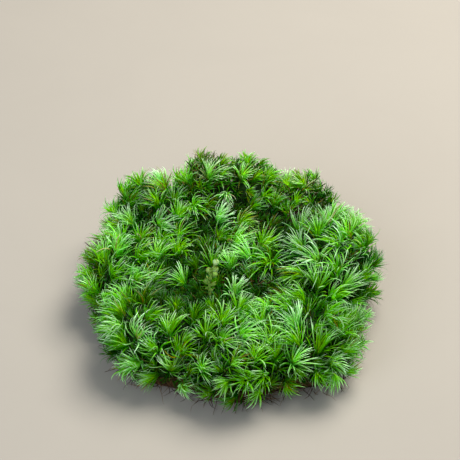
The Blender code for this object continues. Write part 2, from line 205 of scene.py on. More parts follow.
# Height of the keel as a share of the leaf's width.
KEEL_HEIGHT = 0.34
LOWEST_LEAF = 0.35 * MM
# Painted glow: how much lighter the youngest leaves are made at their base, for light that comes
# through the heart of a shoot.
HEART_PAINTED_GLOW = 1.0
STEM_WIDTH = 0.62 * MM
STEM_LENGTH = 7.5 * MM
STEM_LOWEST = 1.2 * MM
STEM_STATIONS = 5

# --- packed and broken old leaves under the shoots ---
THATCH_TURNS = 150
THATCH_RINGS = 46
THATCH_LOWEST = 3.2 * MM
# Waves of its rough surface, and how high they are.
THATCH_WAVES = (1.6 * MM, 4.5 * MM)
THATCH_ROUGHNESS = 0.9 * MM
BROKEN_LEAF_SINK = 1.0 * MM
BROKEN_LEAF_SEGMENTS = 3

# --- loose fibres and dead leaves ---
LOOSE_STATIONS = 6
FIBRE_LOWEST = 0.2 * MM
DEAD_LEAF_WIDTH = 0.42 * MM
# Middle, reach and share of the loose dead leaves.
DEAD_LEAF_SPOTS_MM = (
    ((24.0, 21.0, 31.0), 5.0, 0.42),
    ((10.0, 17.0, 29.5), 6.0, 0.18),
    ((-8.0, 35.0, 36.0), 6.0, 0.14),
    ((-42.0, 9.0, 22.0), 5.0, 0.14),
    ((10.0, -10.0, 26.0), 5.0, 0.12),
)

# --- budded sprig, the same place and size as in the solids ---
SPRIG_FOOT = Vector((-6.0 * MM, -12.5 * MM, 19.0 * MM))
SPRIG_HEIGHT = 13.5 * MM
SPRIG_LEAN = Vector((1.8 * MM, 1.0 * MM, 0.0))
SPRIG_BEND = 0.9 * MM
SPRIG_STEM_RADIUS = 0.45 * MM
SPRIG_RINGS = 16
# Buds: share of the stem's height, turn in degrees, reach and radius in mm.
SPRIG_BUDS = (
    (0.50, 200.0, 1.1, 0.75),
    (0.62, 20.0, 1.2, 0.80),
    (0.74, 160.0, 1.1, 0.80),
    (0.86, 300.0, 1.0, 0.85),
    (1.00, 0.0, 0.0, 0.90),
)
# Leaflets below the buds: share of the height, turn in degrees, length in mm.
SPRIG_LEAFLETS = (
    (0.18, 80.0, 2.2), (0.26, 230.0, 2.4), (0.34, 330.0, 2.6), (0.40, 120.0, 2.6),
    (0.22, 300.0, 2.4), (0.30, 20.0, 2.6), (0.37, 180.0, 2.4), (0.45, 260.0, 2.6),
    (0.49, 40.0, 2.2), (0.56, 280.0, 2.4), (0.60, 130.0, 2.2), (0.68, 75.0, 2.2),
    (0.72, 240.0, 2.0), (0.80, 210.0, 1.8), (0.88, 100.0, 1.8),
)
STALK_RADII = (0.30 * MM, 0.34 * MM)
# Height of a bud in its radii, and its scales: how many, how far each goes round,
# how much the inner ones open, how much more the outer ones, and how thick.
BUD_HEIGHT = 2.5
BUD_SCALES = 5
SCALE_SPAN = 1.75
SCALE_OPENING = 0.04
OUTER_SCALE_OPENING = 0.05
SCALE_THICKNESS = 0.09
SCALE_COLUMNS = 6
SCALE_ROWS = 8
# Width and thickness of a leaflet as shares of its length.
LEAFLET_SHAPE = (0.42, 0.16)

# --- stage: the camera stands where the photo was taken from ---
PHOTO_FOCAL_PIXELS = 1474.0
PHOTO_PIXELS = 460.0
SENSOR_MM = 36.0
LOOK_AT = Vector((0.0, 17.5 * MM, 19.4 * MM))
FLOOR_HALF = 2.0
FLOOR_DROP = 0.1 * MM
# Place, side, name of the setting for the power, and tint.
LIGHTS = {
    "key_light": ((0.24, 0.24, 0.60), 0.42, "key_power", "#fff8ec"),
    "fill_light": ((-0.35, -0.45, 0.45), 0.50, "fill_power", "#eef4ff"),
}
LIGHTS_AIM = Vector((0.0, 0.0, 20.0 * MM))
ROOM_TINT = "#eef2f6"
ROOM_STRENGTH = 0.3


def linear(hex_colour):
    """The linear RGB of an sRGB hex colour."""
    channels = []
    for place in (1, 3, 5):
        value = int(hex_colour[place:place + 2], 16) / 255.0
        channels.append(value / 12.92 if value <= 0.04045 else ((value + 0.055) / 1.055) ** 2.4)
    return tuple(channels)


# --- settings ---

def length_setting(name, description, default_mm, lowest_mm, highest_mm):
    """A length that a user can change."""
    return FloatProperty(
        name=name, description=description, default=default_mm * MM,
        min=lowest_mm * MM, max=highest_mm * MM, unit="LENGTH")


def count_setting(name, description, default, lowest, highest):
    """A number of leaves or fibres that a user can change."""
    return IntProperty(
        name=name, description=description, default=default, min=lowest, max=highest)


def colour_setting(name, description, hex_colour):
    """A colour that a user can change."""
    return FloatVectorProperty(
        name=name, description=description, default=linear(hex_colour),
        subtype="COLOR", size=3, min=0.0, max=1.0)


class MossShootSettings(bpy.types.PropertyGroup):
    leaf_length: length_setting("Leaf length", "Length of a full-grown leaf", 9.6, 2.0, 15.0)
    leaf_width: length_setting("Leaf width", "Greatest width of a leaf", 0.68, 0.2, 2.0)
    leaves_per_shoot: count_setting(
        "Leaves on a shoot", "Leaves on each full-grown shoot", 46, 10, 120)
    leaves_per_young_shoot: count_setting(
        "Leaves on a low shoot", "Leaves on each shoot between the others", 32, 6, 90)
    leaves_per_old_shoot: count_setting(
        "Leaves on an old shoot", "Leaves left on each old shoot deep in the cushion", 14, 4, 30)
    low_shoot_cover: length_setting(
        "Spacing of low shoots", "Farthest that any spot lies from a low shoot", 4.1, 2.5, 5.0)
    old_shoot_cover: length_setting(
        "Spacing of old shoots", "Farthest that any spot lies from any shoot", 2.6, 1.5, 4.0)
    tip_height: length_setting(
        "Height of the tips", "How far the leaves reach above the mound", 5.6, 2.0, 8.0)
    lean_to_light: FloatProperty(
        name="Lean to the light", description="How much the shoots turn up instead of outward",
        default=1.3, min=0.0, max=3.0, subtype="FACTOR")


class MossLeafColours(bpy.types.PropertyGroup):
    heart: colour_setting("Heart", "Base of the youngest leaves, in the heart of a shoot", "#bce024")
    young: colour_setting("Young leaf", "Blade of a young leaf", "#86c93e")
    grown: colour_setting("Grown leaf", "Blade of a full-grown leaf", "#5cb322")
    grown_base: colour_setting("Base of a grown leaf", "Base of a full-grown leaf", "#6aba12")
    old: colour_setting("Old leaf", "Blade of the lowest leaves of a shoot", "#28600c")
    # The pale leaf tip and the bleached tip are partly the leaves' own colour and partly painted
    # highlight.
    tip: colour_setting("Leaf tip", "Tip of a leaf, where the green thins out", "#d2eccc")
    bleached_and_highlit: colour_setting("Bleached tip", "Whitish tip of a dried leaf", "#e8f7ee")
    withered: colour_setting("Withered leaf", "Olive-brown of leaves that die back", "#98893a")
    rusty: colour_setting("Rusty tip", "Orange-brown tips of a few shoots", "#b8662e")


class MossGroundSettings(bpy.types.PropertyGroup):
    thatch_depth: length_setting(
        "Depth of the thatch", "How far the dead inner leaves lie below the mound", 3.5, 1.0, 8.0)
    felt: colour_setting("Felt", "Brown felt of old stems and rhizoids", "#4a3620")
    fibre_count: count_setting("Fibres", "Loose fibres on the felt's torn side", 900, 0, 3000)
    fibre_radius: length_setting("Fibre radius", "Radius of one loose fibre", 0.11, 0.03, 0.5)
    broken_leaf_count: count_setting(
        "Broken leaves", "Directions that short broken old leaves are tried in", 20000, 0, 30000)
    dead_leaf_count: count_setting(
        "Dead leaves", "Loose dead leaves caught between the shoots", 80, 0, 400)


class MossSprigSettings(bpy.types.PropertyGroup):
    bud: colour_setting("Bud", "Pale yellow-green of the buds", "#b6dc98")
    leaflet: colour_setting("Leaflet", "Yellow-green of the leaflets and the lower buds", "#86ac4c")
    stem: colour_setting("Sprig stem", "Brownish green of the sprig's stem", "#3e6e22")


class MossStageSettings(bpy.types.PropertyGroup):
    floor: colour_setting("Floor", "Plain pale floor", "#a09c95")
    camera_distance: length_setting(
        "Camera distance", "From the camera to the middle of the clump", 470.0, 100.0, 2000.0)
    camera_elevation: FloatProperty(
        name="Camera elevation", description="Angle that the camera looks down at",
        default=math.radians(42.0), min=0.0, max=math.radians(90.0), unit="ROTATION")
    key_power: FloatProperty(
        name="Key light", description="Power of the large soft light behind the clump",
        default=8.4, min=0.0, max=100.0, unit="POWER")
    fill_power: FloatProperty(
        name="Fill light", description="Power of the soft light in front of the clump",
        default=2.7, min=0.0, max=100.0, unit="POWER")


# --- directions ---

def unit(vectors):
    """Vectors at length one."""
    return vectors / np.maximum(np.linalg.norm(vectors, axis=-1, keepdims=True), 1e-12)


def level_directions(turns):
    """Level directions at angles round the clump."""
    return np.column_stack((np.cos(turns), np.sin(turns), np.zeros(len(turns))))


def spiral_directions(count):
    """Directions spread evenly over a sphere along a golden spiral."""
    index = np.arange(count) + 0.5
    height = 1.0 - 2.0 * index / count
    turn = math.pi * (1.0 + math.sqrt(5.0)) * index
    radius = np.sqrt(1.0 - height**2)
    return np.column_stack((radius * np.cos(turn), radius * np.sin(turn), height))


def sides_of(ahead, helper):
    """Directions across and outward of strands, square to the way they go."""
    across = unit(np.cross(ahead, helper))
    return across, np.cross(across, ahead)


def upright_helper(ahead):
    """Up for each strand, or to the right for one that goes up itself."""
    return np.where(np.abs(ahead[:, 2:]) < 0.9, UP, TO_THE_RIGHT)


def reaches_away(points, middle_mm, reach_mm):
    """Distance from points to a spot, counted in its reach."""
    return np.linalg.norm(points - np.array(middle_mm) * MM, axis=1) / (reach_mm * MM)


# --- mound ---

def hummock_distance(points, middle, half_sizes):
    """Distance from points to a round-topped hummock, below zero inside it."""
    offset = points - middle
    offset[:, 2] = np.where(offset[:, 2] < 0.0, offset[:, 2] * COLUMN_TAPER, offset[:, 2])
    scaled = np.linalg.norm(offset / half_sizes, axis=1)
    slope = np.linalg.norm(offset / half_sizes**2, axis=1)
    return scaled * (scaled - 1.0) / np.maximum(slope, 1e-9)


def mound_distance(points):
    """Distance from points to all hummocks grown together, with the hollows in them."""
    distances = []
    for middle, half_sizes in HUMMOCKS_MM.values():
        middle = np.array(middle) * MM
        half_sizes = np.array(half_sizes) * MM
        distances.append(hummock_distance(points, middle, half_sizes))
    distances = np.array(distances)
    nearest = distances.min(axis=0)
    blend = np.exp((nearest - distances) / CLEFT_SOFTNESS).sum(axis=0)
    smooth = nearest - CLEFT_SOFTNESS * np.log(blend)
    for middle, reach, depth in HOLLOWS_MM.values():
        smooth += depth * MM * np.exp(-reaches_away(points, middle, reach) ** 2)
    return smooth


def mound_points(directions, focus=MOUND_FOCUS, depth=0.0, coarse_steps=70, fine_steps=14):
    """Outermost point along each direction that lies this deep in the mound."""
    focus = np.array(focus)
    outside = np.full(len(directions), MOUND_REACH)
    inside = np.zeros(len(directions))
    found = np.zeros(len(directions), dtype=bool)
    for step in range(1, coarse_steps):
        reach = MOUND_REACH * (1.0 - step / coarse_steps)
        within = mound_distance(focus + directions * reach) < -depth
        newly = within & ~found
        inside[newly] = reach
        outside[newly] = reach + MOUND_REACH / coarse_steps
        found |= newly
    for _ in range(fine_steps):
        middle = (inside + outside) / 2.0
        within = mound_distance(focus + directions * middle[:, None]) < -depth
        inside = np.where(within, middle, inside)
        outside = np.where(within, outside, middle)
    return focus + directions * ((inside + outside) / 2.0)[:, None]


def mound_normals(points, step=0.2 * MM):
    """Outward directions of the mound's surface at points."""
    slopes = []
    for axis in np.eye(3):
        ahead = mound_distance(points + axis * step)
        behind = mound_distance(points - axis * step)
        slopes.append(ahead - behind)
    return unit(np.array(slopes).T)


def spread_sites(points, cover, kept):
    """Go on picking points evenly, each the farthest from those before it."""
    kept = list(kept)
    room = np.full(len(points), np.inf)
    for index in kept:
        room = np.minimum(room, np.linalg.norm(points - points[index], axis=1))
    while room.max() > cover:
        kept.append(int(room.argmax()))
        room = np.minimum(room, np.linalg.norm(points - points[kept[-1]], axis=1))
    return kept


# --- meshes ---

# A strand's share of its cell on the map, and the corner it starts from.
MAP_CELL_USED = (0.84, 0.80)
MAP_CELL_CORNER = (0.08, 0.12)
MAP_COLUMNS_TO_ROWS = 3.0
STRAND_SIDES = 3


def mesh_object(name, material, points, triangles, maps=None, marks=None):
    """An object from arrays of points and triangles, on the root body."""
    mesh = bpy.data.meshes.new(name)
    mesh.vertices.add(len(points))
    mesh.vertices.foreach_set("co", points.astype(np.float32).ravel())
    mesh.loops.add(triangles.size)
    mesh.loops.foreach_set("vertex_index", triangles.astype(np.int32).ravel())
    mesh.polygons.add(len(triangles))
    mesh.polygons.foreach_set("loop_start", np.arange(0, triangles.size, 3, dtype=np.int32))
    mesh.update(calc_edges=True)
    for title, values in (marks or {}).items():
        layer = mesh.attributes.new(title, "FLOAT", "POINT")
        layer.data.foreach_set("value", values.astype(np.float32))
    if maps is not None:
        layer = mesh.uv_layers.new(name="OFBake")
        layer.data.foreach_set("uv", maps.astype(np.float32).ravel())
    mesh.shade_smooth()
    mesh.materials.append(material)
    item = bpy.data.objects.new(name, mesh)
    bpy.context.scene.collection.objects.link(item)
    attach(item, "root")
    return item


def strand_template(segments):
    """Triangles of one tapered strand, and where each corner lies on its map."""
    sides = STRAND_SIDES
    triangles = []
    places = []
    for ring in range(segments - 1):
        for side in range(sides):
            here, after = ring * sides + side, ring * sides + (side + 1) % sides
            above, above_after = here + sides, after + sides
            low, high = ring / segments, (ring + 1) / segments
            left, right = side / sides, (side + 1) / sides
            triangles += [(here, after, above_after), (here, above_after, above)]
            places += [((left, low), (right, low), (right, high))]
            places += [((left, low), (right, high), (left, high))]
    last = (segments - 1) * sides
    low = (segments - 1) / segments
    for side in range(sides):
        triangles.append((last + side, last + (side + 1) % sides, last + sides))
        left, right = side / sides, (side + 1) / sides
        places.append(((left, low), (right, low), ((left + right) / 2.0, 1.0)))
    # The closed foot lies just below the strand on the map.
    for side in range(1, sides - 1):
        triangles.append((0, side + 1, side))
        places.append(((0.0, -0.09), (side / sides, -0.02), (1.0, -0.09)))
    return np.array(triangles), np.array(places)


def strand_arrays(middles, across, outer, widths, depth, marks):
    """Join many tapered strands. The last station of each is its pointed tip.

    middles is (strand, station, xyz). The directions across and outer, the widths
    and the marks have one entry for each strand, each station or both. The depth
    is a share of the width.
    """
    count, stations, _ = middles.shape
    aside = across * (widths / 2.0)[..., None]
    outward = outer * (widths * depth)[..., None]
    rings = np.stack((middles - aside, middles + outward, middles + aside), axis=2)
    rings = rings[:, :-1].reshape(count, -1, 3)
    points = np.concatenate((rings, middles[:, -1:]), axis=1)
    template, places = strand_template(stations - 1)
    triangles = template[None] + (np.arange(count) * points.shape[1])[:, None, None]
    values = {}
    for title, mark in marks.items():
        mark = np.broadcast_to(mark, (count, stations))
        ringed = np.repeat(mark[:, :-1], STRAND_SIDES, axis=1)
        values[title] = np.concatenate((ringed, mark[:, -1:]), axis=1).ravel()
    keel = np.tile((0.0, 1.0, 0.0), stations - 1)
    values["strand_keel"] = np.tile(np.append(keel, 0.5), count)
    return {
        "points": points.reshape(-1, 3),
        "triangles": triangles.reshape(-1, 3),
        "places": np.broadcast_to(places[None], (count, *places.shape)),
        "marks": values,
    }


def join_strands(groups):
    """Put groups of strands in one set of arrays, and lay their maps in a grid."""
    total = sum(len(group["places"]) for group in groups)
    columns = max(1, math.ceil(math.sqrt(total * MAP_COLUMNS_TO_ROWS)))
    rows = math.ceil(total / columns)
    points, triangles, maps, marks = [], [], [], {}
    first_point = first_cell = 0
    for group in groups:
        count = len(group["places"])
        cell = first_cell + np.arange(count)
        corner = np.stack((cell % columns, cell // columns), axis=1)[:, None, None, :]
        laid = (corner + (group["places"] * MAP_CELL_USED + MAP_CELL_CORNER)) / (columns, rows)
        points.append(group["points"])
        triangles.append(group["triangles"] + first_point)
        maps.append(laid.reshape(-1, 2))
        for title, values in group["marks"].items():
            marks.setdefault(title, []).append(values)
        first_point += len(group["points"])
        first_cell += count
    marks = {title: np.concatenate(values) for title, values in marks.items()}
    return np.concatenate(points), np.concatenate(triangles), np.concatenate(maps), marks


def curling_middles(roots, heading, lengths, curls):
    """Points along loose strands, which turn by one of the curls before each step."""
    middles = [roots]
    for curl in curls:
        heading = unit(heading + curl)
        middles.append(middles[-1] + heading * (lengths / len(curls))[:, None])
    return np.stack(middles, axis=1)


# --- shoots ---

def patch_values(points):
    """Leaf length, spread, waviness, painted light and shade, brownness and lean at points."""
    total = np.full(len(points), PATCH_BASE_WEIGHT)
    values = np.outer(total, PATCH_BASE)
    for middle, reach, *looks in GROWTH_PATCHES.values():
        weight = np.exp(-PATCH_FALL * reaches_away(points, middle, reach) ** 2)
        total += weight
        values += weight[:, None] * np.array(looks)
    return (values / total[:, None]).T


def strongest_spot(points, spots_mm):
    """What the strongest of some spots comes to at each point."""
    strongest = np.zeros(len(points))
    for middle, reach, strength in spots_mm:
        fall = np.exp(-reaches_away(points, middle, reach) ** 2)
        strongest = np.maximum(strongest, strength * fall)
    return strongest


def field_noise(points, wavelength, seed):
    """Smooth noise from about -1 to 1 at points."""
    offset = Vector((seed * 3.7, seed * 1.3, seed * 2.9))
    return np.array([noise.noise(Vector(point / wavelength) + offset) for point in points])


def pick_feet(settings):
    """Feet of the shoots, spread evenly over the mound, and the storey of each."""
    feet = mound_points(spiral_directions(CANDIDATE_COUNT))
    feet = feet[feet[:, 2] > SHOOT_LOWEST]
    from_sprig = np.linalg.norm(feet[:, :2] - np.array(SPRIG_FOOT)[:2], axis=1)
    by_sprig = feet[(from_sprig > SPRIG_ROOM) & (from_sprig <= SPRIG_CLEARING)]
    feet = feet[from_sprig > SPRIG_CLEARING]
    grown = spread_sites(feet, SHOOT_COVER, [0])
    feet = np.concatenate((feet, by_sprig))
    lower = spread_sites(feet, settings.low_shoot_cover, grown)
    every = spread_sites(feet, settings.old_shoot_cover, lower)
    storey = np.zeros(len(every), dtype=int)
    storey[len(grown):] += 1
    storey[len(lower):] += 1
    return feet[every], storey


def grow_shoots(settings):
    """Where every shoot stands and what it is like, as arrays."""
    random = np.random.default_rng(SEED)
    feet, storey = pick_feet(settings)
    count = len(feet)
    outward = mound_normals(feet)
    steep = np.clip(1.0 - outward[:, 2], 0.0, 1.0)
    leaf_size, spread, wave, lightness, brown, lean = patch_values(feet + PATCH_OFFSET)
    lean = settings.lean_to_light * lean * STOREY_LEAN[storey]
    light = UP * (lean * np.clip(outward[:, 2] + 0.25, 0.0, 1.0))[:, None]
    axes = unit(outward + light + random.normal(0.0, 0.16, (count, 3)))
    # All leaves of a shoot sweep one way, which turns slowly over the cushion.
    turn = math.pi / 2.0 + field_noise(feet, 16.0 * MM, 1) * 3.4 + random.normal(0.0, 0.45, count)
    sweep = level_directions(turn) + UP * 0.25
    sweep = unit(sweep - axes * (sweep * axes).sum(axis=1)[:, None])
    pale_spots = [(middle, PALE_REACH_MM, PALE_STRENGTH) for middle in PALE_SHOOTS_MM]
    pale = np.maximum(random.random(count) ** 5 * 0.8, strongest_spot(feet, pale_spots))
    length = settings.leaf_length * leaf_size * random.uniform(0.86, 1.14, count)
    length *= STOREY_LEAF_SIZE[storey] * (1.0 - 0.18 * steep)
    least, most = STOREY_DEPTH[storey].T
    depth = least + (most - least) * random.random(count)
    # Where leaves are short, the lower shoots stand less deep.
    depth *= np.clip((leaf_size - 0.72) / 0.4, 0.25, 1.0)
    depth += HOLLOW_DEPTH * np.clip(-lightness, 0.0, 1.0)
    leaf_counts = np.array((
        settings.leaves_per_shoot, settings.leaves_per_young_shoot, settings.leaves_per_old_shoot))
    return {
        "foot": feet, "axis": axes, "storey": storey, "length": length,
        "apex": settings.tip_height - 0.88 * length - depth,
        "spread": spread * random.uniform(0.85, 1.15, count) * STOREY_SPREAD[storey],
        "wave": wave * random.uniform(0.5, 1.5, count),
        # Painted light and shade: the patch's painted shade and the storey's painted shade, with a
        # random tone of each shoot.
        "light": lightness + random.normal(0.0, 0.26 + 0.2 * steep) + STOREY_PAINTED_SHADE[storey],
        "brown": np.clip(brown + random.normal(0.0, 0.10, count), 0.0, 1.0),
        "sweep": sweep * random.uniform(0.7, 1.8, count)[:, None],
        "phase": random.random(count),
        "pale": pale,
        "rusty": strongest_spot(feet, RUSTY_SPOTS_MM),
        "count": leaf_counts[storey],
    }


def leaf_rows(shoots, chosen, random):
    """One row for each leaf of the chosen shoots."""
    counts = shoots["count"][chosen]
    shoot = np.repeat(chosen, counts)
    # Rank is 0 for the youngest leaf of a shoot and 1 for the oldest.
    step = np.concatenate([np.arange(count) for count in counts])
    rank = (step + 0.5) / np.repeat(counts, counts)
    total = len(shoot)
    axis = shoots["axis"][shoot]
    first = unit(np.cross(axis, upright_helper(axis)))
    second = np.cross(axis, first)
    start_turn = np.repeat(random.uniform(0.0, math.tau, len(chosen)), counts)
    turn = start_turn + step * GOLDEN_ANGLE + random.normal(0.0, 0.22, total)
    radial = first * np.cos(turn)[:, None] + second * np.sin(turn)[:, None]
    spread = shoots["spread"][shoot]
    # Leaves are longest a little above the oldest ones.
    fullness = 0.64 + 0.44 * np.sin(math.pi * np.clip(0.08 + 0.62 * rank, 0.0, 1.0))
    start = np.radians(LEAF_START_DEGREES[0] + LEAF_START_DEGREES[1] * rank) * spread
    start += random.normal(0.0, 0.05, total)
    bend = np.radians(LEAF_BEND_DEGREES[0] + LEAF_BEND_DEGREES[1] * rank) * spread
    bend *= random.uniform(0.5, 1.6, total)
    base = shoots["apex"][shoot] - LEAFY_LENGTH * rank**1.1
    dies_back = np.clip((rank - 0.80) / 0.20, 0.0, 1.0) * random.uniform(0.0, 0.9, total)
    browned = random.random(total) < shoots["brown"][shoot] * 0.75
    browned = browned * random.uniform(0.35, 1.0, total)
    # Some leaves get whitish tips: partly bleached, partly painted highlight.
    own_pale = (random.random(total) < 0.18) * random.uniform(0.2, 0.9, total)
    is_old = shoots["storey"][shoot] == OLD_STOREY
    return {
        "age": np.where(is_old, 0.8 + 0.2 * rank, rank),
        "axis": axis,
        "radial": radial,
        "side": np.cross(axis, radial),
        "root": shoots["foot"][shoot] + axis * base[:, None] + radial * LEAF_GAP,
        "start": np.clip(start, 0.02, 1.5),
        "bend": bend,
        "length": shoots["length"][shoot] * fullness * random.uniform(0.82, 1.12, total),
        "sweep": shoots["sweep"][shoot] * random.uniform(0.8, 1.2, total)[:, None],
        "droop": 0.2 + 0.6 * random.random(total),
        "wave": shoots["wave"][shoot] * random.normal(0.14, 0.09, total),
        "turns": random.uniform(0.6, 0.85, total),
        "phase": shoots["phase"][shoot] + random.normal(0.0, 0.06, total),
        "twist": random.normal(0.0, 0.7, total),
        "size": random.uniform(0.8, 1.2, total),
        "light": shoots["light"][shoot] + random.normal(0.0, 0.30, total),
        "brown": np.maximum(browned, dies_back * 0.35),
        "pale": np.maximum(shoots["pale"][shoot], own_pale),
        "rusty": shoots["rusty"][shoot],
    }


def leaf_strands(leaves, settings, segments):
    """Bend each leaf out of its shoot and give it its narrow keeled blade."""
    leaf = {title: values[:, None] for title, values in leaves.items()}
    share = np.linspace(0.0, 1.0, segments + 1) ** 0.8

    def way(places):
        """Direction of each leaf at shares of its length."""
        angle = leaf["start"] + leaf["bend"] * places**1.8
        ripple = np.sin(math.tau * (places * leaf["turns"] + leaf["phase"]))
        ripple = ripple * leaf["wave"] * places * 3.0
        return unit(
            leaf["axis"] * np.cos(angle)[..., None]
            + leaf["radial"] * np.sin(angle)[..., None]
            + leaf["sweep"] * (places**1.6)[:, None]
            + leaf["side"] * ripple[..., None]
            - UP * (leaf["droop"] * places**2)[..., None])

    steps = way((share[1:] + share[:-1]) / 2.0) * (leaf["length"] * np.diff(share))[..., None]
    middles = np.cumsum(np.concatenate((leaf["root"], steps), axis=1), axis=1)
    middles[..., 2] = np.maximum(middles[..., 2], LOWEST_LEAF)
    ahead = way(share)
    side = unit(leaf["side"] - ahead * (leaf["side"] * ahead).sum(-1)[..., None])
    twist = (leaf["twist"] * share)[..., None]
    across = side * np.cos(twist) + np.cross(side, ahead) * np.sin(twist)
    outline = (0.8 + 0.2 * np.clip(share / 0.15, 0.0, 1.0)) * (1.0 - share) ** 0.65
    size = leaf["size"] * np.sqrt(leaf["length"] / settings.leaf_length)
    widths = settings.leaf_width * size * outline
    # Painted glow at the base of the young leaves, added to the painted light and shade that
    # leaf_light carries.
    glow = HEART_PAINTED_GLOW * (1.0 - 0.6 * leaf["age"]) * (leaf["age"] < 1.0)
    marks = {
        "leaf_along": share[None], "leaf_age": leaf["age"],
        "leaf_light": leaf["light"] + glow * (1.0 - share) ** 2,
        "leaf_brown": leaf["brown"], "leaf_pale": leaf["pale"], "leaf_rusty": leaf["rusty"],
    }
    return strand_arrays(middles, across, np.cross(across, ahead), widths, KEEL_HEIGHT, marks)


def shoot_sectors(feet):
    """Which piece of the cushion each shoot belongs to: 0 is its middle."""
    around = len(SECTOR_NAMES) - 1
    turn = np.arctan2(feet[:, 1], feet[:, 0]) % math.tau
    sector = 1 + (turn / math.tau * around).astype(int) % around
    return np.where(np.linalg.norm(feet[:, :2], axis=1) < MIDDLE_RADIUS, 0, sector)


def stem_strands(shoots, random):
    """The stem under each shoot's leaves."""
    share = np.linspace(0.0, 1.0, STEM_STATIONS)
    axis = shoots["axis"]
    top = shoots["foot"] + axis * (shoots["apex"] + 0.4 * MM)[:, None]
    bottom = shoots["foot"] - unit(axis + UP * 0.3) * STEM_LENGTH
    bottom[:, 2] = np.maximum(bottom[:, 2], STEM_LOWEST)
    middles = bottom[:, None] + (top - bottom)[:, None] * share[:, None]
    bow = shoots["sweep"] * random.uniform(-2.2, 2.2, len(axis))[:, None] * MM
    middles = middles + bow[:, None] * np.sin(math.pi * share)[:, None]
    ahead = unit(top - bottom)
    across, outer = sides_of(ahead, upright_helper(ahead))
    widths = STEM_WIDTH * (1.0 - 0.35 * share)[None]
    marks = {"leaf_along": share[None], "leaf_light": shoots["light"][:, None]}
    return strand_arrays(middles, across[:, None], outer[:, None], widths, 0.8, marks)


# --- materials ---

def add_node(tree, kind, inputs=None, stops=(), **settings):
    """Add a node. Each input is a value, or the node or output socket that feeds it."""
    node = tree.nodes.new(kind)
    for name, value in settings.items():
        setattr(node, name, value)
    for place, (position, colour) in enumerate(stops):
        if place >= len(node.color_ramp.elements):
            node.color_ramp.elements.new(position)
        node.color_ramp.elements[place].position = position
        node.color_ramp.elements[place].color = (*colour, 1.0)
    for socket, value in (inputs or {}).items():
        if isinstance(value, bpy.types.Node):
            value = value.outputs[0]
        if isinstance(value, bpy.types.NodeSocket):
            tree.links.new(value, node.inputs[socket])
        else:
            node.inputs[socket].default_value = value
    return node


def new_material(name):
    """A material with an empty node tree and its output."""
    material = bpy.data.materials.new(name)
    material.use_nodes = True
    tree = material.node_tree
    tree.nodes.clear()
    return material, tree, add_node(tree, "ShaderNodeOutputMaterial")


